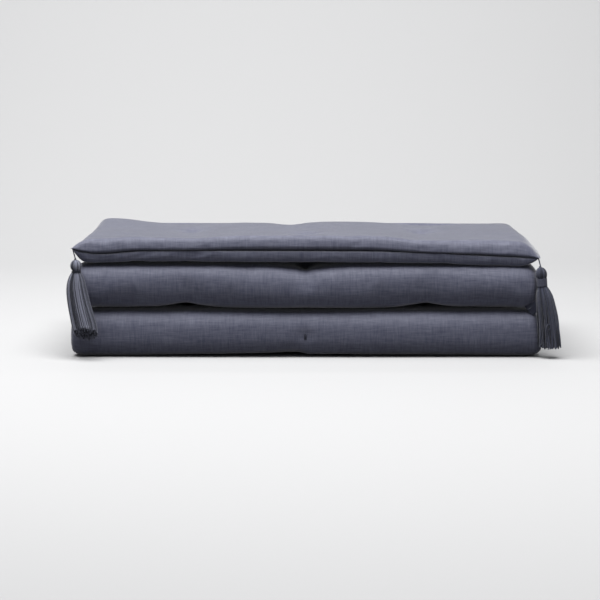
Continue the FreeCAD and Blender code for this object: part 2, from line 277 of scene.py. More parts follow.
def edge_place(angle, squareness=EDGE_SQUARENESS):
    """How far out a row of a rounded edge lies, and what is left of its thickness."""
    turn, power = math.radians(angle), 2 / squareness
    return math.sin(turn) ** power, max(0.0, math.cos(turn)) ** power


def panel_stations(number, panel):
    """Rows along one flat layer, without the rows on its two fold lines."""
    heading = -1 if number % 2 else 1
    z = layer_middle[panel]
    up = half_layer if number % 2 else -half_layer
    rows = []

    def add(y, fullness=1.0):
        swell = 0.0
        if number == len(PANELS):
            swell = FRONT_SWELL * np.clip((-y - fold_line + 0.004) / 0.018, 0, 1) ** 1.3
        thick = up + math.copysign(swell, up)
        under = up + math.copysign(0.6 * swell, up)
        rows.append(Station(panel, (y, z), (y, z + thick), (y, z - under), fullness))

    start, stop = -heading * fold_line, heading * fold_line
    if number == 1:
        flat = free_edge - END_ROUND
        for angle in reversed(EDGE_ANGLES):
            out, fullness = edge_place(angle)
            add(flat + END_ROUND * out, fullness)
        start = flat
    if number == len(PANELS):
        stop = -(free_edge - FRONT_ROUND)
    count = max(2, round(abs(stop - start) / PANEL_STEP))
    for step in range(count + 1):
        add(start + (stop - start) * step / count)
    if number == len(PANELS):
        for angle in EDGE_ANGLES:
            out, fullness = edge_place(angle, FRONT_SQUARENESS)
            add(stop - FRONT_ROUND * out, fullness)
    return rows


def fold_stations(number, fold):
    """Rows round one fold, between the two fold lines, which belong to the panels."""
    side = FRONT if number % 2 == 0 else BACK
    hinge = hinges[fold + "_bend"]
    power = 2 / FOLD_SQUARENESS[number]
    fine = np.linspace(-math.pi / 2, math.pi / 2, 400)

    def rounded(turn, reach, rise):
        cosine, sine = math.cos(turn), math.sin(turn)
        proud = FOLD_PROUD[number] * reach / fold_reach
        return np.array((hinge[1] + side * (reach + proud) * max(cosine, 0) ** power,
                         hinge[2] + math.copysign(rise * abs(sine) ** power, sine)))

    track = np.array([rounded(turn, fold_reach, fold_reach) for turn in fine])
    run = np.concatenate(([0], np.cumsum(np.linalg.norm(np.diff(track, axis=0), axis=1))))
    count = 20
    spots = np.concatenate(([0.3], np.arange(1, count), [count - 0.3])) / count
    turns = np.interp(spots * run[-1], run, fine)
    rows = []
    for turn in turns:
        outer = rounded(turn, fold_reach, fold_reach)
        middle = rounded(turn, middle_radius, middle_radius)
        inner = rounded(turn, INNER_CREASE, INNER_CREASE)
        # the cloth that faces up on panel 1 is inside the first fold, outside the next
        faces = (inner, outer) if number % 2 == 0 else (outer, inner)
        rows.append(Station(fold, middle, *faces))
    return rows


stations = []
for number, panel in enumerate(PANELS, start=1):
    stations += panel_stations(number, panel)
    if number < len(PANELS):
        stations += fold_stations(number - 1, FOLDS[number - 1])

SIDE_COLUMNS = 104
interior = [i / (SIDE_COLUMNS / 2) - 1 for i in range(SIDE_COLUMNS + 1)]
columns = [(-1, -edge_place(angle)[0], edge_place(angle)[1]) for angle in reversed(EDGE_ANGLES)]
columns += [(spot, 0, 1) for spot in interior]
columns += [(1, *edge_place(angle)) for angle in EDGE_ANGLES]

EAR_REACH = {"front_fold_low": ear + 0.0065, "front_fold_high": ear + 0.0020}
LOW_FOLD_SHIFT = 0.0015           # the lowest fold lies a little to the right
PULLED_IN = {"panel_5": 0.3}      # share of the CAD inset that the free top panel shows


def half_width(station):
    """The mat is widest at its ears and pulls in between them."""
    share = min(1, abs(station.middle[0]) / fold_line)
    front_ear = ear
    if station.piece in EAR_REACH:
        front_ear = EAR_REACH[station.piece]
    elif station.piece in ("panel_1", "panel_2"):
        front_ear = EAR_REACH["front_fold_low"]
    elif station.piece in ("panel_3", "panel_4"):
        front_ear = EAR_REACH["front_fold_high"]
    forward = np.clip(0.5 - station.middle[0] / (2 * fold_line), 0, 1)
    if station.piece == PANELS[-1]:
        front_ear = ear + 0.003
    reach = ear + (front_ear - ear) * forward
    inset = (ear - panel_half_width) * PULLED_IN.get(station.piece, 0.8)
    return reach - inset * (1 - share ** 3)


def place_on(station, column, cloth_number):
    """Point of one cover cloth on a row and a column, and its outward direction."""
    spot, sine, fall = column
    wide = half_width(station)
    x = (wide - SIDE_ROUND) * spot + SIDE_ROUND * sine
    if station.piece in ("panel_1", "front_fold_low", "panel_2"):
        x += LOW_FOLD_SHIFT * np.clip(-station.middle[0] / fold_line, 0, 1)
    outward = station.faces[cloth_number] - station.middle
    rise = outward[1] / np.linalg.norm(outward)
    drop = 1.8 if spot > 0 and station.piece in FOLDS else 0.9
    fall = fall ** (1 + drop * rise if rise > 0 else 1 + 0.2 * rise)
    y, z = station.middle + outward * fall * station.fullness
    return (x, y, z), outward / np.linalg.norm(outward)


row_count, column_count = len(stations), len(columns)
points, normals, pieces_of, cloth_of, grid_place = [], [], [], [], []
index_of = np.zeros((2, row_count, column_count), int)
for row, station in enumerate(stations):
    for column_number, column in enumerate(columns):
        on_seam = column_number in (0, column_count - 1) or row in (0, row_count - 1)
        for cloth_number in (0, 1):
            if on_seam and cloth_number == 1:
                index_of[1, row, column_number] = index_of[0, row, column_number]
                continue
            point, outward = place_on(station, column, cloth_number)
            index_of[cloth_number, row, column_number] = len(points)
            points.append(point)
            normals.append((0, *outward) if not on_seam else (0, 0, 0))
            pieces_of.append(station.piece)
            cloth_of.append(cloth_number)
            grid_place.append((row, column_number))
points = np.array(points, float)
normals = np.array(normals, float)
pieces_of = np.array(pieces_of)
cloth_of = np.array(cloth_of)
rows_of, columns_of = np.array(grid_place).T
seam = np.linalg.norm(normals, axis=1) == 0

# How far along its own cloth each row lies, so that the weave runs on through the folds.
cloth_run = np.zeros((2, row_count))
for cloth_number in (0, 1):
    track = np.array([s.middle + (s.faces[cloth_number] - s.middle) * s.fullness
                      for s in stations])
    steps = np.linalg.norm(np.diff(track, axis=0), axis=1)
    cloth_run[cloth_number, 1:] = np.cumsum(steps)

# Ties pull the mat in to a pit, with a hollow that runs on over the nearest fold.
rest_points = points.copy()
pull = np.zeros(len(points))
stitches = []            # panel or fold, its cloth, and the point of the skin at rest


def tie_places(node):
    """Middle of each tie in a CAD node of ties."""
    groups = []
    for vertex in frame["nodes"][node].data.vertices:
        for group in groups:
            if (group[0] - vertex.co).xy.length < 0.02:
                group.append(vertex.co)
                break
        else:
            groups.append([vertex.co.copy()])
    return [sum(group, Vector()) / len(group) for group in groups]


def pull_in(centre, members, depth, across, along):
    """Draws a skin in round a tie, to given reaches along the folds and round them."""
    gap = points[members] - centre
    sideways = np.sqrt(gap[:, 0] ** 2 + 0.003 ** 2) - 0.003
    around = np.linalg.norm(gap[:, 1:], axis=1)
    drawn = depth * np.exp(-sideways / across - (around / along) ** 2)
    pull[members] = np.maximum(pull[members], drawn)


# Depth of a pit, and its reach along the folds and round them.
FACE_PIT = (0.0075, 0.017, 0.026)
TOP_PIT_DEPTH = 0.0095
TOP_BACK_PIT = (0.0105, 0.012, 0.034)       # notches the back of the top
FRONT_PIT = (0.0145, 0.015, 0.038)          # shows on the front of a fold
FRONT_SIDE_PIT = (0.0135, 0.025, 0.038)
TACK_PIT = (0.0032, 0.008, 0.012)

names = [name for pair in zip(PANELS, FOLDS + [None]) for name in pair if name]
rank = np.array([names.index(name) for name in pieces_of])
for number, panel in enumerate(PANELS, start=1):
    near = abs(rank - names.index(panel)) <= 1
    for middle in tie_places(panel + "_tie_threads"):
        for cloth_number in (0, 1):
            up = 1 if (number % 2 == 1) == (cloth_number == 0) else -1
            face = np.array((middle.x, middle.y, layer_middle[panel] + up * half_layer))
            members = near & (cloth_of == cloth_number) & ~seam
            depth, across, along = FACE_PIT
            if middle.y < 0.03 - fold_line:
                depth, across, along = FRONT_SIDE_PIT if abs(middle.x) > 0.1 else FRONT_PIT
            if panel == PANELS[-1]:
                depth = TOP_PIT_DEPTH
                if middle.y > 0.1:
                    depth, across, along = TOP_BACK_PIT
            pull_in(face, members, depth, across, along)
            stitches.append((panel, cloth_number, face))
fold_tie = node_box("front_fold_low_tie_thread")
roll_spot = np.array((0, fold_tie[0][1], (fold_tie[0][2] + fold_tie[1][2]) / 2))
roll_members = (pieces_of == "front_fold_low") & (cloth_of == 1) & ~seam
pull_in(roll_spot, roll_members, *TACK_PIT)
stitches.append(("front_fold_low", 1, roll_spot))

# The free face on top is a little fuller than the panel, with a shallow valley that runs from
# front to back on either side.
TOP_CROWN = 0.002
TOP_VALLEYS = ((-0.190, 0.0035), (0.195, 0.0052))   # place along the folds, and depth
VALLEY_WIDTH = 0.065

x, y, z = points.T
top_skin = (pieces_of == PANELS[-1]) & (cloth_of == 0) & ~seam
crown = np.zeros(len(points))
inside = np.clip(1 - (np.abs(x) / ear) ** 4, 0, 1)
crown[top_skin] = TOP_CROWN * inside[top_skin]
for place, depth in TOP_VALLEYS:
    valley = np.exp(-((x - place) / VALLEY_WIDTH) ** 2)
    crown[top_skin] -= depth * valley[top_skin]
points += normals * (crown - pull)[:, None]

# Height of the front free edge above its straight line, from its left ear to its right one.
EDGE_SPOTS = (-0.350, -0.340, -0.320, -0.295, -0.255, -0.200, 0.0,
              0.110, 0.207, 0.283, 0.330, 0.350)
EDGE_RISES = (0.0045, 0.0005, -0.0030, -0.0025, 0.0015, 0.0025, 0.0020,
              0.0015, -0.001, -0.006, -0.0085, -0.010)
free_front = (pieces_of == PANELS[-1]) & (points[:, 1] < -0.5 * fold_line)
toward_edge = np.clip((-rest_points[:, 1] / fold_line - 0.5) / (free_edge / fold_line - 0.5),
                      0, 1)
rise = np.interp(points[:, 0], EDGE_SPOTS, EDGE_RISES)
points[free_front, 2] += (rise * toward_edge ** 2)[free_front]
# The lowest fold is rucked up a little off the floor, to the left of its tie.
RUCK_HEIGHT = 0.0045
underside = np.isin(pieces_of, ("panel_1", "front_fold_low")) & (cloth_of == 1) & ~seam
ruck = (np.clip((points[:, 0] + 0.14) / 0.11, 0, 1) ** 2
        * np.clip(-(points[:, 0] - 0.004) / 0.014, 0, 1))
ruck *= np.clip((-rest_points[:, 1] - 0.09) / 0.05, 0, 1)
ruck *= np.clip(1 - rest_points[:, 2] / 0.022, 0, 1)
points[underside, 2] += (RUCK_HEIGHT * ruck)[underside]

# Both cloths of a free corner run together to a point at its ear.
CORNER_LENGTHS = ((0.025, 0.025), (0.013, 0.030))   # left and right, upper cloth and lower
CORNER_BLUNTNESS = 0.42     # 1 is a straight taper, less is a fuller corner
for panel, end in ((PANELS[-1], -1), (PANELS[0], 1)):
    for cloth_number in (0, 1):
        corner = (pieces_of == panel) & (cloth_of == cloth_number) & ~seam
        near_end = np.clip((end * rest_points[:, 1] - 0.03) / (free_edge - 0.03), 0, 1) ** 1.5
        length = np.where(points[:, 0] < 0, *CORNER_LENGTHS[cloth_number])
        inside_ear = np.clip((ear - np.abs(points[:, 0])) / length, 0, 1)
        keep = 1 - near_end * (1 - inside_ear ** CORNER_BLUNTNESS)
        level = layer_middle[panel] + (rise * toward_edge ** 2 if end < 0 else 0)
        height = points[:, 2] - level
        if end < 0 or cloth_number == 0:
            points[corner, 2] = (level + height * keep)[corner] if end < 0 else (
                points[:, 2] - height * (1 - keep))[corner]
touching = (pieces_of == PANELS[-1]) & (cloth_of == 1) & (rest_points[:, 1] > -fold_line)
points[touching, 2] = np.maximum(points[touching, 2], rest_points[touching, 2])
# The back of the top lifts near its left corner and dips slightly near its right one.
BACK_LIFTS = ((-0.325, 0.0075), (0.325, -0.0010))
top_outside = ((pieces_of == PANELS[-1]) | (pieces_of == FOLDS[-1])) & (cloth_of == 0)
for place, lift in BACK_LIFTS:
    near = np.exp(-((points[:, 0] - place) / 0.07) ** 2)
    back = np.clip((rest_points[:, 1] + 0.02) / 0.15, 0, 1) ** 2
    high = np.clip((rest_points[:, 2] - layer_middle[PANELS[-1]]) / half_layer, 0, 1)
    points[top_outside, 2] += (lift * near * back * high)[top_outside]


def quads():
    """Faces of both skins, wound so that they look outwards, with their UV corners."""
    faces, corners, face_pieces = [], [], []
    for row in range(row_count - 1):
        ahead, behind = stations[row], stations[row + 1]
        piece = ahead.piece if ahead.piece in FOLDS else behind.piece
        if ahead.piece in PANELS and behind.piece in PANELS:
            piece = ahead.piece
        for column_number in range(column_count - 1):
            for cloth_number in (0, 1):
                ring = [(row, column_number), (row, column_number + 1),
                        (row + 1, column_number + 1), (row + 1, column_number)]
                if cloth_number == 0:
                    ring.reverse()
                face = [index_of[cloth_number, r, c] for r, c in ring]
                uv = []
                for r, c in ring:
                    across = points[index_of[cloth_number, r, c]][0]
                    uv.append((across + 2 * cloth_number, cloth_run[cloth_number, r]))
                distinct = list(dict.fromkeys(face))
                if len(distinct) < 3:
                    continue
                if len(distinct) < 4:
                    uv = [uv[face.index(vertex)] for vertex in distinct]
                faces.append(distinct)
                corners += uv
                face_pieces.append(piece)
    return faces, corners, face_pieces


faces, corners, face_pieces = quads()
mesh = bpy.data.meshes.new("mat")
mesh.from_pydata(points.tolist(), [], faces)
mesh.uv_layers.new(name="cloth").data.foreach_set("uv", np.array(corners).ravel())
mat = bpy.data.objects.new("mat", mesh)
bpy.context.scene.collection.objects.link(mat)
bpy.ops.object.select_all(action="DESELECT")
mat.select_set(True)
bpy.context.view_layer.objects.active = mat
mesh.validate()

# Settling: the seam, the creases inside the folds and the ties hold while the rest of the
# cover is pressed in onto the wadding.  The fullness is that of the shape set out above.
SETTLE_PRESSURE = -4.0       # inwards
SETTLE_FRAMES = 16
SETTLE_LIMIT = 0.004         # no part of the skin moves further than this
SETTLE_SCALE = 0.022         # a movement of this size is cut to three quarters of the limit
SIDEWAYS_SHARE = 0.25        # of the movement along the skin that is kept
HIDDEN_LIMIT = 0.0002        # a covered face may move out towards the next layer by this
TIE_HOLD = 0.0095            # skin drawn in further than this is held by its tie
CLOTH_STIFFNESS = 12
CLOTH_SHRINKAGE = -0.035     # below nothing, so the cloth is a little loose


def settle():
    """Runs the cloth simulation on the whole mat and returns where the points went."""
    start = points.copy()
    held = mat.vertex_groups.new(name="held")
    crease = np.zeros(len(points), bool)
    for row, station in enumerate(stations):
        if station.piece in FOLDS:
            inner = 0 if FOLDS.index(station.piece) % 2 == 0 else 1
            crease[index_of[inner, row]] = True
    strong = seam | crease | (pull > TIE_HOLD)
    held.add([int(i) for i in np.flatnonzero(strong)], 1.0, "REPLACE")
    modifier = mat.modifiers.new("settle", "CLOTH")
    settings = modifier.settings
    settings.quality = 5
    settings.mass = 0.3
    settings.tension_stiffness = settings.compression_stiffness = CLOTH_STIFFNESS
    settings.shear_stiffness = 4
    settings.bending_stiffness = 0.4
    settings.shrink_min = CLOTH_SHRINKAGE
    settings.use_pressure = True
    settings.uniform_pressure_force = SETTLE_PRESSURE
    settings.vertex_group_mass = "held"
    settings.effector_weights.gravity = 0
    modifier.collision_settings.use_collision = False
    modifier.point_cache.frame_start = 1
    modifier.point_cache.frame_end = SETTLE_FRAMES
    for number in range(1, SETTLE_FRAMES + 1):
        bpy.context.scene.frame_set(number)
    bpy.ops.object.modifier_apply(modifier="settle")
    moved = np.zeros(len(points) * 3)
    mat.data.vertices.foreach_get("co", moved)
    bpy.context.scene.frame_set(1)
    shift = moved.reshape(-1, 3) - start
    return shift


shift = settle()
outward = np.einsum("ij,ij->i", shift, normals)
proud = np.abs(rest_points[:, 1]) - fold_line
give = np.clip((proud - 0.008) / (fold_reach - 0.008), 0, 1) ** 1.5
give[top_skin] = 1
give[(pieces_of == PANELS[-1]) & (cloth_of == 1)] *= 0.4
side = np.clip((np.abs(rest_points[:, 0]) - ear + SIDE_ROUND) / SIDE_ROUND, 0, 1)
give = np.maximum(give, side ** 3)
most = HIDDEN_LIMIT + (SETTLE_LIMIT - HIDDEN_LIMIT) * give
kept = np.where(outward > 0, most, SETTLE_LIMIT) * np.tanh(outward / SETTLE_SCALE)
shift = normals * kept[:, None] + SIDEWAYS_SHARE * (shift - normals * outward[:, None])
length = np.linalg.norm(shift, axis=1)
shift *= np.minimum(1, SETTLE_LIMIT / np.maximum(length, 1e-9))[:, None]
shift[seam] = 0
points = points + shift

points[:, 2] = np.maximum(points[:, 2], 0.0)
inward = np.zeros((len(points), 3))
side_seam = seam & ((columns_of == 0) | (columns_of == column_count - 1))
end_seam = seam & ((rows_of == 0) | (rows_of == row_count - 1))
inward[side_seam, 0] = -np.sign(points[side_seam, 0])
inward[end_seam, 1] = -np.sign(points[end_seam, 1])
depths = np.full(len(points), SEAM_DEPTH)
free_seam = rows_of == row_count - 1
between_ears = (1 - np.abs(points[:, 0] / ear).clip(0, 1) ** 8) * free_seam
depths += (FRONT_SEAM_DEPTH - SEAM_DEPTH) * between_ears
points += inward * depths[:, None]
points[:, 2] -= FRONT_SEAM_DROP * between_ears
lower_lip = (pieces_of == PANELS[-1]) & (cloth_of == 1) & ~seam
near_seam = np.clip((rows_of - row_count + 1 + len(EDGE_ANGLES)) / len(EDGE_ANGLES), 0, 1)
points[lower_lip, 1] += (LIP_RECESS * near_seam ** 2)[lower_lip]
mat.data.vertices.foreach_set("co", points.ravel())
crease_attribute = mat.data.attributes.new("crease_edge", "FLOAT", "EDGE")
seam_edges = [seam[a] and seam[b] for a, b in (edge.vertices for edge in mat.data.edges)]
crease_attribute.data.foreach_set("value", np.array(seam_edges, np.float32))
# Painted shade: 1 on the seam points, where the cloth colour is darkened to stand in for the
# shadow in the seam.
groove = mat.data.attributes.new("groove", "FLOAT", "POINT")
# The lower cloth beside the front seam gets a share of the same painted shade.
beside_front_seam = (rows_of == row_count - 2) & (cloth_of == 1)
groove.data.foreach_set("value", np.where(beside_front_seam, LIP_PAINTED_SHADE, seam).astype(np.float32))
for name in names:
    mat.data.materials.append(bpy.data.materials.new("cut_" + name))
for polygon, piece in zip(mat.data.polygons, face_pieces):
    polygon.material_index = names.index(piece)
smooth = mat.modifiers.new("smooth", "SUBSURF")
smooth.levels = smooth.render_levels = 1
smooth.uv_smooth = "PRESERVE_BOUNDARIES"
bpy.ops.object.modifier_apply(modifier="smooth")
bpy.ops.object.mode_set(mode="EDIT")
bpy.ops.mesh.select_all(action="SELECT")
bpy.ops.mesh.separate(type="MATERIAL")
bpy.ops.object.mode_set(mode="OBJECT")

mat_pieces = {}
for piece in list(bpy.context.selected_objects):
    name = piece.data.materials[0].name.removeprefix("cut_")
    mat_pieces[name] = piece
    piece.name = piece.data.name = name + "_pad"
    piece.data.materials.clear()
    piece.data.materials.append(cloth)
    bpy.ops.object.select_all(action="DESELECT")
    piece.select_set(True)
    bpy.context.view_layer.objects.active = piece
    bpy.ops.object.mode_set(mode="EDIT")
    bpy.ops.mesh.select_all(action="DESELECT")
    bpy.ops.mesh.select_mode(type="EDGE")
    bpy.ops.mesh.select_non_manifold()
    bpy.ops.mesh.edge_face_add()
    bpy.ops.mesh.select_all(action="SELECT")
    bpy.ops.object.mode_set(mode="OBJECT")
    bpy.ops.object.shade_smooth_by_angle(angle=math.radians(50))
for scrap in [m for m in bpy.data.materials if m.name.startswith("cut_")]:
    bpy.data.materials.remove(scrap)

for panel in PANELS:
    piece = mat_pieces[panel]
    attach(piece, panel)
    stands_for = [panel + "_lower_cover", panel + "_upper_cover", panel + "_wadding"]
    for end_name, end_panel in (("front_edge", PANELS[-1]), ("back_edge", PANELS[0])):
        if panel == end_panel:
            stands_for += [end_name + "_upper_cover", end_name + "_lower_cover",
                           end_name + "_wadding"]
    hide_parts(*stands_for)
for number, fold in enumerate(FOLDS):
    piece = mat_pieces[fold]
    y = hinges[fold + "_bend"][1]
    low = layer_middle[PANELS[number]] - half_layer
    high = layer_middle[PANELS[number + 1]] + half_layer
    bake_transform(piece)
    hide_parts(fold + "_outer_cover", fold + "_inner_cover", fold + "_wadding")

# ------------------------------------------------------------------ ties
# Every tie is a double stitch of the same slate thread, pulled tight and sewn through the
# whole layer, so a short thread bar lies in the bottom of the pit on either face.

YARN_DARK = (0.012, 0.014, 0.025, 1)
YARN_LIGHT = (0.175, 0.182, 0.235, 1)
STITCH_LENGTH = 0.0090
STITCH_RADIUS = 0.0010


def build_yarn_group():
    """Tone and relief of a soft two-ply yarn, on a UV map of metres along and turns round."""
    tree, start, end = new_group("two_ply_yarn", (
        ("UV", "NodeSocketVector", None),
        ("Yarn tone", "NodeSocketFloat", 0.5),
        ("Twist length", "NodeSocketFloat", 0.004)),
        (("Tone", "NodeSocketFloat"), ("Relief", "NodeSocketFloat")))
    split = add_node(tree, "ShaderNodeSeparateXYZ", {0: start.outputs["UV"]})
    turns = math_node(tree, "DIVIDE", split.outputs[0], start.outputs["Twist length"])
    turns = math_node(tree, "ADD", turns, split.outputs[1])
    ply = math_node(tree, "PINGPONG", turns, 0.25)
    spot = add_node(tree, "ShaderNodeCombineXYZ", {
        0: math_node(tree, "MULTIPLY", split.outputs[0], 700.0),
        1: split.outputs[1], 2: math_node(tree, "MULTIPLY", start.outputs["Yarn tone"], 50.0)})
    fuzz = add_node(tree, "ShaderNodeTexNoise", {
        "Vector": spot.outputs[0], "Scale": 1.0, "Detail": 3.0, "Roughness": 0.65})
    tone = math_node(tree, "MULTIPLY_ADD", fuzz.outputs["Fac"], 0.9, -0.45)
    tone = math_node(tree, "MULTIPLY_ADD", ply, 1.4, tone)
    tone = math_node(tree, "ADD", tone, math_node(
        tree, "MULTIPLY_ADD", start.outputs["Yarn tone"], 1.3, -0.25))
    tree.links.new(tone, end.inputs["Tone"])
    tree.links.new(ply, end.inputs["Relief"])
    return tree


yarn_group = build_yarn_group()


def yarn_material(name, dark, light, twist_length):
    material, tree, shader = new_material(name, 0.85, 0.25, 0.5)
    place = add_node(tree, "ShaderNodeUVMap", uv_map="yarn")
    own_tone = add_node(tree, "ShaderNodeAttribute", attribute_name="yarn_tone")
    yarn = add_node(tree, "ShaderNodeGroup", node_tree=yarn_group)
    tree.links.new(place.outputs[0], yarn.inputs["UV"])
    tree.links.new(own_tone.outputs["Fac"], yarn.inputs["Yarn tone"])
    yarn.inputs["Twist length"].default_value = twist_length
    colour_by(tree, shader, yarn.outputs["Tone"], dark, light)
    bump_by(tree, shader, yarn.outputs["Relief"], 0.6, 0.0003)
    return material


shades = random.Random(11)


def yarn_mesh(name, runs, radius, material, sides=6, cut_tone=0.0):
    """Round yarns along the given runs of points, as one mesh with closed ends."""
    vertices, faces, uvs, tones = [], [], [], []
    for run in runs:
        path = np.array([tuple(point) for point in run])
        tangents = np.gradient(path, axis=0)
        tangents /= np.linalg.norm(tangents, axis=1)[:, None]
        lengths = np.concatenate(([0], np.cumsum(np.linalg.norm(np.diff(path, axis=0), axis=1))))
        side = np.cross(tangents[0], (0.31, 0.27, 0.91) if abs(tangents[0][2]) < 0.8
                        else (0.91, 0.31, 0.27))
        base = len(vertices)
        tone = shades.uniform(0, 1)
        for point, tangent in zip(path, tangents):
            side = side - tangent * np.dot(side, tangent)
            side /= np.linalg.norm(side)
            other = np.cross(tangent, side)
            for corner in range(sides):
                turn = 2 * math.pi * corner / sides
                vertices.append(point + radius * (
                    side * math.cos(turn) + other * math.sin(turn)))
                tones.append(tone)
        for ring in range(len(path) - 1):
            for corner in range(sides):
                after = (corner + 1) % sides
                a, b = base + ring * sides, base + (ring + 1) * sides
                faces.append((a + corner, a + after, b + after, b + corner))
                uvs += [(lengths[ring], corner / sides), (lengths[ring], (corner + 1) / sides),
                        (lengths[ring + 1], (corner + 1) / sides),
                        (lengths[ring + 1], corner / sides)]
        last = base + (len(path) - 1) * sides
        faces.append(tuple(range(base + sides - 1, base - 1, -1)))
        uvs += [(0, 0)] * sides
        middle = len(vertices)
        vertices.append(path[-1] + tangents[-1] * radius * 0.4)
        # Painted shade: the tip of the end cap is made darker, as shadow in a cut end.
        tones.append(tone + cut_tone)
        for corner in range(sides):
            faces.append((last + corner, last + (corner + 1) % sides, middle))
            uvs += [(lengths[-1], 0)] * 3
    mesh = bpy.data.meshes.new(name)
    mesh.from_pydata([tuple(vertex) for vertex in vertices], [], faces)
    mesh.uv_layers.new(name="yarn").data.foreach_set("uv", np.array(uvs, float).ravel())
    mesh.attributes.new("yarn_tone", "FLOAT", "POINT").data.foreach_set(
        "value", np.array(tones, np.float32))
    mesh.materials.append(material)
    yarns = bpy.data.objects.new(name, mesh)
    bpy.context.scene.collection.objects.link(yarns)
    bpy.ops.object.select_all(action="DESELECT")
    yarns.select_set(True)
    bpy.context.view_layer.objects.active = yarns
    bpy.ops.object.shade_smooth_by_angle(angle=math.radians(65))
    return yarns


thread_material = yarn_material("tie_thread", (0.006, 0.007, 0.014, 1), (0.03, 0.032, 0.055, 1),
                                0.0025)


def stitch_runs(owner, cloth_number, face):
    """The two strands of one stitch, laid on the drawn-in skin."""
    members = np.flatnonzero((pieces_of == owner) & (cloth_of == cloth_number))
    gap = np.linalg.norm(rest_points[members] - face, axis=1)
    nearest = members[np.argmin(gap)]
    out = Vector(normals[nearest])
    along = Vector((1, 0, 0)).cross(out).normalized()
    root = Vector(points[nearest])
    root.x = face[0]
    root = mat_pieces[owner].closest_point_on_mesh(root)[1] + out * 0.0004
    runs = []
    for offset in (-STITCH_RADIUS, STITCH_RADIUS):
        middle = root + Vector((offset, 0, 0)) + out * (0.6 * STITCH_RADIUS)
        runs.append([middle + along * (STITCH_LENGTH * share / 2) - out * (0.0012 * share ** 6)
                     for share in (-1.1, -0.8, -0.4, 0, 0.4, 0.8, 1.1)])
    return runs


for owner in PANELS + ["front_fold_low"]:
    runs = [run for place in stitches if place[0] == owner for run in stitch_runs(*place)]
    stitching = yarn_mesh(owner + "_stitches", runs, STITCH_RADIUS, thread_material)
    if owner in PANELS:
        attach(stitching, owner)
        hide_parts(owner + "_tie_threads")
    else:
        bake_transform(stitching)
        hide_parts("front_fold_low_tie_thread")

# ------------------------------------------------------------------ tassels
# Each corner carries a tassel of slate cotton yarn on a short twisted cord with a knot.
# The yarns are doubled over the cord, bound round the neck and cut off at the foot.

YARN_RADIUS = 0.00095
CORD_STRAND = 0.00055
BINDING_RADIUS = 0.0005
SIDEWAYS = Vector((1, 0, 0))
randomly = np.random.default_rng(7)

tassel_yarn = yarn_material("tassel_yarn", YARN_DARK, YARN_LIGHT, 0.0045)
# A darker copy of the same tassel yarn, painted shade, for the front right tassel and its loose
# yarns.
painted_shade_yarn = yarn_material("tassel_yarn_deep", (0.008, 0.010, 0.019, 1),
                            (0.052, 0.057, 0.090, 1), 0.0045)
tassel_binding = yarn_material("tassel_binding", YARN_DARK, (0.095, 0.100, 0.140, 1), 0.003)
tassel_cord = yarn_material("tassel_cord", (0.008, 0.009, 0.018, 1), (0.05, 0.052, 0.08, 1),
                            0.003)


def smooth_run(stations, share):
    """Point and radii on a smooth line through stations of (share, x, y, z, wide, deep)."""
    table = np.array(stations, float)
    place = np.clip(share, table[0, 0], table[-1, 0])
    k = min(int(np.searchsorted(table[:, 0], place, side="right")) - 1, len(table) - 2)
    k = max(k, 0)
    a, b = table[k], table[k + 1]
    before, after = table[max(k - 1, 0)], table[min(k + 2, len(table) - 1)]
    span = b[0] - a[0]
    t = (place - a[0]) / span
    slope_a = (b - before)[1:] / (b[0] - before[0]) * span
    slope_b = (after - a)[1:] / (after[0] - a[0]) * span
    value = ((2 * t ** 3 - 3 * t ** 2 + 1) * a[1:] + (t ** 3 - 2 * t ** 2 + t) * slope_a
             + (3 * t ** 2 - 2 * t ** 3) * b[1:] + (t ** 3 - t ** 2) * slope_b)
    if share > table[-1, 0]:
        value[:3] += (table[-1, 1:4] - table[-2, 1:4]) * (share - table[-1, 0]) / (
            table[-1, 0] - table[-2, 0])
    return Vector(value[:3]), value[3], value[4]


def cord_runs(top, bottom, turns):
    """Two plies twisted round each other from the corner down to the head."""
    axis = (bottom - top).normalized()
    first = axis.orthogonal().normalized()
    second = axis.cross(first)
    plies = []
    for phase in (0, math.pi):
        ply = []
        for step in range(41):
            share = step / 40
            turn = phase + share * turns * 2 * math.pi
            ply.append(top.lerp(bottom, share) + CORD_STRAND * (
                first * math.cos(turn) + second * math.sin(turn)))
        plies.append(ply)
    return plies


def loop_run(centre, axis, radius, turns, pitch):
    """Thread wound round an axis, such as a knot or the binding of the neck."""
    second = axis.cross(SIDEWAYS).normalized()
    first = second.cross(axis).normalized()
    count = max(12, int(turns * 20))
    run = []
    for step in range(count + 1):
        turn = step / count * turns * 2 * math.pi
        along = (step / count - 0.5) * turns * pitch
        run.append(centre + axis * along + radius * (
            first * math.cos(turn) + second * math.sin(turn)))
    return run


def head_runs(centre, axis, deep, radius, half_height, neck, count):
    """Yarns laid over the ball of the head from its top to its neck."""
    runs = []
    for number in range(count):
        turn = 2 * math.pi * number / count
        around = SIDEWAYS * math.cos(turn) + deep * math.sin(turn)
        run = []
        for angle in np.linspace(10, 152, 11):
            polar = math.radians(angle)
            out = max(radius * math.sin(polar), 0.0)
            run.append(centre - axis * (half_height * math.cos(polar)) + around * out)
        run.append(centre + axis * (half_height * 1.02) + around * neck)
        runs.append(run)
    return runs


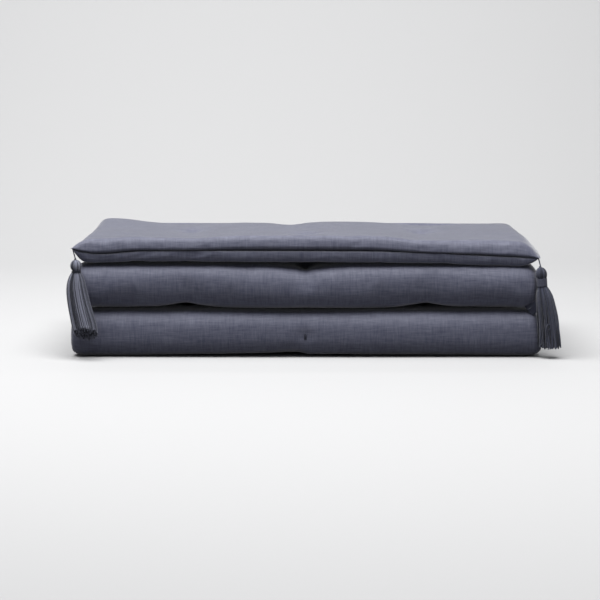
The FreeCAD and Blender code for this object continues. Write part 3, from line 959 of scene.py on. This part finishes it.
def skirt_runs(stations, deep, slant, rings, spread):
    """Loose yarns of the skirt; slant is how much sooner the front ones are cut."""
    runs = []
    for share_out, count in rings:
        for number in range(count):
            turn = 2 * math.pi * (number + randomly.uniform(-0.3, 0.3)) / count
            wave = randomly.uniform(0, 2 * math.pi)
            out = share_out * randomly.uniform(0.92, 1.0)
            sway = randomly.uniform(0.3, 1.0) * spread
            cut = 1 - slant * share_out * math.sin(turn) + randomly.uniform(-0.010, 0.010)
            run = []
            for step in range(15):
                share = cut * step / 14
                centre, wide, thick = smooth_run(stations, share)
                sideways = out * (wide - YARN_RADIUS) * math.cos(turn)
                forwards = out * (thick - YARN_RADIUS) * math.sin(turn)
                sideways += sway * share * math.sin(wave + 7 * share)
                forwards += sway * share * math.cos(wave + 5 * share)
                run.append(centre + SIDEWAYS * sideways + deep * forwards)
            runs.append(run)
    return runs


def core_piece(name, head_centre, axis, head_radius, head_half):
    """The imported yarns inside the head, as one closed ball."""
    bpy.ops.object.select_all(action="DESELECT")
    bpy.ops.mesh.primitive_uv_sphere_add(segments=24, ring_count=16, radius=1)
    core = bpy.context.object
    core.name = core.data.name = name
    turn = (-axis).to_track_quat("Z", "Y")
    for vertex in core.data.vertices:
        local = Vector((vertex.co.x * (head_radius - 0.0014),
                        vertex.co.y * (head_radius - 0.0014), vertex.co.z * head_half))
        vertex.co = head_centre + turn @ local
    bpy.ops.object.shade_smooth()
    return core


# How far out each ring of the skirt lies, and how many yarns are in it.
SKIRT_RINGS = ((1.0, 43), (0.80, 34), (0.60, 24), (0.38, 15), (0.15, 6))
CUT_END_PAINTED_SHADE = -0.6             # painted shade: the tip of each cut end is made darker than its yarn
KNOT = (0.0011, 2.4, 0.0008)    # radius, turns and pitch


def build_tassel(side, corner, knot_at, centre, axis, deep, head, neck, stations, slant,
                 yarn=tassel_yarn, spread=0.0007):
    """One tassel with its own cord, head, binding and skirt."""
    body = "tassel_" + side
    head_radius, head_half = head
    neck_radius, neck_length, neck_centre = neck
    top = centre - axis * head_half
    parts = {}
    parts["cord"] = yarn_mesh(
        body + "_twisted_cord",
        cord_runs(corner, top, 4) + [loop_run(knot_at, axis, *KNOT)],
        CORD_STRAND, tassel_cord)
    core = core_piece(body + "_core", centre, axis, head_radius, head_half)
    core.data.materials.append(yarn)
    count = round(2 * math.pi * (head_radius - YARN_RADIUS) / (1.75 * YARN_RADIUS))
    parts["head"] = yarn_mesh(
        body + "_yarn_head",
        head_runs(centre, axis, deep, head_radius - YARN_RADIUS, head_half - YARN_RADIUS,
                  neck_radius - YARN_RADIUS, count), YARN_RADIUS, yarn)
    bpy.ops.object.select_all(action="DESELECT")
    core.select_set(True)
    parts["head"].select_set(True)
    bpy.context.view_layer.objects.active = parts["head"]
    bpy.ops.object.join()
    turns = neck_length / (1.9 * BINDING_RADIUS)
    parts["neck_wrap"] = yarn_mesh(
        body + "_neck_binding",
        [loop_run(neck_centre, axis, neck_radius, turns, 1.9 * BINDING_RADIUS)],
        BINDING_RADIUS, tassel_binding)
    parts["skirt"] = yarn_mesh(
        body + "_yarn_skirt",
        skirt_runs(stations, deep, slant, SKIRT_RINGS, spread),
        YARN_RADIUS, yarn, cut_tone=CUT_END_PAINTED_SHADE)
    for part, piece in parts.items():
        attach(piece, body)
        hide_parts(body + "_" + part)


FORWARD = Vector((0, -1, 0))
UP = Vector((0, 0, 1))

front_row = row_count - 1
left_ear = Vector(points[index_of[0, front_row, 0]])
right_ear = Vector(points[index_of[0, front_row, column_count - 1]])

# The front left tassel lies against the folds, leans inwards and shows its cut foot.
build_tassel(
    "front_left", left_ear + Vector((0.001, 0.001, 0)), Vector((-0.3450, -0.1722, 0.1500)),
    Vector((-0.3434, -0.1770, 0.1405)), Vector((0.04, -0.04, -1)).normalized(), FORWARD,
    (0.0086, 0.0095), (0.0068, 0.0030, Vector((-0.3430, -0.1774, 0.1318))),
    ((0.00, -0.3430, -0.1775, 0.1318, 0.0066, 0.0060),
     (0.09, -0.3432, -0.1785, 0.1222, 0.0122, 0.0085),
     (0.28, -0.3425, -0.1810, 0.1056, 0.0158, 0.0100),
     (0.54, -0.3382, -0.1845, 0.0814, 0.0180, 0.0115),
     (0.86, -0.3305, -0.1900, 0.0520, 0.0196, 0.0130),
     (1.00, -0.3280, -0.1935, 0.0400, 0.0184, 0.0130)), 0.125)

# The front right one hangs free outside the stack, with a longer bound neck; its yarn is the
# darker copy with painted shade.
build_tassel(
    "front_right", right_ear + Vector((-0.001, 0.001, 0)), Vector((0.3515, -0.1705, 0.1385)),
    Vector((0.3535, -0.1720, 0.1280)), Vector((0.08, 0, -1)).normalized(), FORWARD,
    (0.0088, 0.0104), (0.0075, 0.0115, Vector((0.3547, -0.1720, 0.1155))),
    ((0.00, 0.3555, -0.1720, 0.1095, 0.0073, 0.0070),
     (0.13, 0.3583, -0.1720, 0.0975, 0.0125, 0.0105),
     (0.37, 0.3620, -0.1720, 0.0754, 0.0152, 0.0125),
     (0.63, 0.3652, -0.1720, 0.0511, 0.0163, 0.0135),
     (1.00, 0.3682, -0.1720, 0.0178, 0.0168, 0.0140)), -0.02, painted_shade_yarn, 0.0016)

# The pair at the back lie on the floor, flattened under their own weight.
back_row = 0
for side, column_number, outward in (("back_left", 0, -1), ("back_right", column_count - 1, 1)):
    ear_point = Vector(points[index_of[0, back_row, column_number]])
    exit_x = outward * (abs(node_box("tassel_" + side + "_cord")[0][0]
                            + node_box("tassel_" + side + "_cord")[1][0]) / 2)
    head_low, head_high = node_box("tassel_" + side + "_head")
    head_mid = Vector((head_low + head_high) / 2)
    skirt_end = node_box("tassel_" + side + "_skirt")[1][1]
    start_y = head_high[1] + 0.004
    length = skirt_end - start_y
    build_tassel(
        side, ear_point, Vector((exit_x, head_low[1] - 0.001, 0.0085)), head_mid,
        Vector((0, 1, 0)), UP, (0.0083, 0.0090),
        (0.0060, 0.0060, Vector((exit_x, start_y - 0.002, 0.0078))),
        ((0.00, exit_x, start_y, 0.0075, 0.0060, 0.0055),
         (0.15, exit_x, start_y + 0.15 * length, 0.0078, 0.0100, 0.0066),
         (0.40, exit_x + outward * 0.001, start_y + 0.40 * length, 0.0078, 0.0140, 0.0070),
         (0.75, exit_x + outward * 0.003, start_y + 0.75 * length, 0.0072, 0.0150, 0.0068),
         (1.00, exit_x + outward * 0.004, start_y + 0.97 * length, 0.0068, 0.0148, 0.0064)),
        0.03)

# A lock of the right skirt is caught between the two folds, and one yarn end curls; all are in
# the darker yarn with painted shade.
lock = []
for number in range(16):
    share = number / 15
    foot = Vector((0.3315 + 0.012 * share, -0.158, 0.0765 - 0.0155 * share
                   + randomly.uniform(-0.0006, 0.0006)))
    root = Vector((0.3560 + randomly.uniform(-0.002, 0.002), -0.1690,
                   0.1010 - 0.006 * share))
    sag = Vector((0.3505 + 0.002 * share, -0.1660, 0.0860 - 0.010 * share))
    lock.append([root.lerp(sag, t).lerp(sag.lerp(foot, t), t) for t in np.linspace(0, 1, 9)])
curl = [Vector((0.3640 + 0.0030 * math.cos(turn), -0.1862, 0.0500 + 0.0060 * math.sin(turn)
                - 0.0012 * turn)) for turn in np.linspace(-1.8, 3.2, 16)]
stray = [Vector((0.3790 + 0.0035 * t, -0.176 - 0.002 * t, 0.052 - 0.020 * t - 0.006 * t * t))
         for t in np.linspace(-0.6, 1, 9)]
lock_piece = yarn_mesh("tassel_front_right_loose_yarns", lock + [curl, stray],
                       0.8 * YARN_RADIUS, painted_shade_yarn)
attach(lock_piece, "tassel_front_right")

# ------------------------------------------------------------------ floor and light
# A white sweep that runs up behind, a broad soft light overhead, and one behind the stack
# that is turned away from it, onto the sweep.  The sweep in front throws back less light
# than it shows.

SWEEP_BOUNCE = (0.165, 0.165, 0.17, 1)
SWEEP_SEEN = (0.465, 0.465, 0.467, 1)
OVERHEAD_POWER = 118
BEHIND_POWER = 34
SKY_COLOUR = (0.92, 0.94, 1.0, 1)
SKY_STRENGTH = 0.16

bpy.ops.object.select_all(action="DESELECT")
bpy.ops.mesh.primitive_plane_add(size=9, location=(0, -2.2, 0))
sweep = bpy.context.object
sweep.name = "floor_sweep"
bpy.ops.object.transform_apply(location=True, rotation=True, scale=True)
bpy.ops.object.mode_set(mode="EDIT")
bpy.ops.mesh.select_mode(type="EDGE")
bpy.ops.mesh.select_all(action="DESELECT")
bpy.ops.object.mode_set(mode="OBJECT")
for edge in sweep.data.edges:
    edge.select = all(sweep.data.vertices[v].co.y > 2 for v in edge.vertices)
bpy.ops.object.mode_set(mode="EDIT")
bpy.ops.mesh.extrude_region_move(TRANSFORM_OT_translate={"value": (0, 0, 3.5)})
bpy.ops.object.mode_set(mode="OBJECT")
for edge in sweep.data.edges:
    edge.select = all(v.co.y > 2 and abs(v.co.z) < 0.01
                      for v in (sweep.data.vertices[i] for i in edge.vertices))
bpy.ops.object.mode_set(mode="EDIT")
bpy.ops.mesh.bevel(offset=1.2, segments=24, affect="EDGES")
bpy.ops.object.mode_set(mode="OBJECT")
bpy.ops.object.shade_smooth()
white, white_tree, white_shader = new_material("white_sweep", 0.75)
seen = add_node(white_tree, "ShaderNodeLightPath").outputs["Is Camera Ray"]
place = add_node(white_tree, "ShaderNodeTexCoord").outputs["Object"]
behind = math_node(white_tree, "GREATER_THAN", add_node(
    white_tree, "ShaderNodeSeparateXYZ", {0: place}).outputs[1], 0.3)
colour_by(white_tree, white_shader, math_node(white_tree, "MAXIMUM", seen, behind),
          SWEEP_BOUNCE, SWEEP_SEEN)
sweep.data.materials.append(white)


def soft_light(name, place, aim, size, power):
    bpy.ops.object.light_add(type="AREA", location=place)
    light = bpy.context.object
    light.name = name
    light.data.shape = "RECTANGLE"
    light.data.size, light.data.size_y = size
    light.data.energy = power
    direction = Vector(aim) - Vector(place)
    light.rotation_euler = direction.to_track_quat("-Z", "Y").to_euler()


soft_light("overhead", (-0.25, -0.60, 2.20), (0, -0.05, 0.05), (2.8, 1.4), OVERHEAD_POWER)
soft_light("behind", (0.1, 1.2, 1.9), (0.1, 2.3, 0.5), (4.6, 1.0), BEHIND_POWER)
world = bpy.context.scene.world or bpy.data.worlds.new("world")
bpy.context.scene.world = world
world.use_nodes = True
world.node_tree.nodes["Background"].inputs[0].default_value = SKY_COLOUR
world.node_tree.nodes["Background"].inputs[1].default_value = SKY_STRENGTH
bpy.context.scene.view_settings.view_transform = "Standard"
